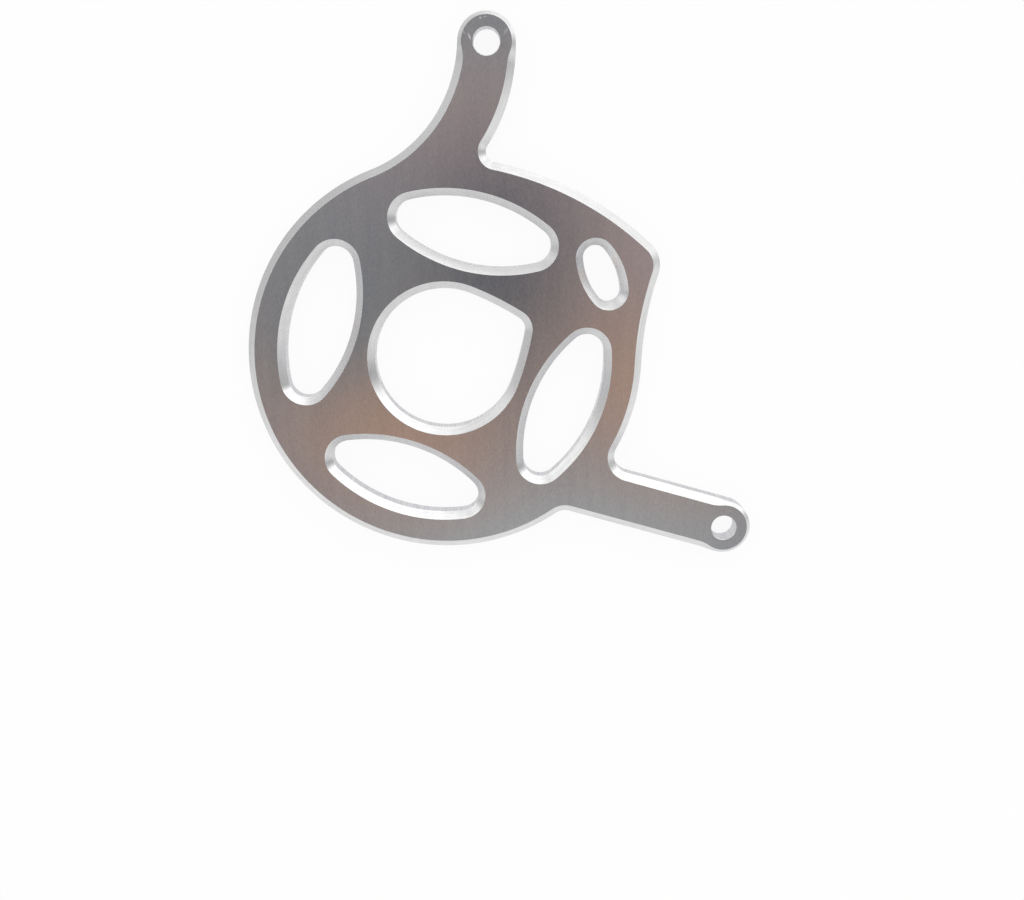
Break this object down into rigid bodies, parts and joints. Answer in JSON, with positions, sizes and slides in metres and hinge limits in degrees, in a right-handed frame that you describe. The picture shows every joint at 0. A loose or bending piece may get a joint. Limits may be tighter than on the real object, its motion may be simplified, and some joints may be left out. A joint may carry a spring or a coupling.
{
  "type": "motor cover",
  "caption": "Flat bevelled guard plate for a motorbike motor: round body with leaf-shaped openings and a cornered centre opening, held by a curved and a straight bolt ear.",
  "frame": {"origin": "centre of the round body and of the centre opening, on the back face", "axes": "+Z leaves the front face; seen from the front, +Y is up towards the upper ear and +X is to the right, towards the straight lower arm"},
  "size_m": [0.1406, 0.1465, 0.006],
  "materials": {
    "milled_aluminium": "satin brushed faces with bright milled bevels"
  },
  "bodies": {
    "root": {"motor_cover": "milled_aluminium"}
  },
  "joints": []
}
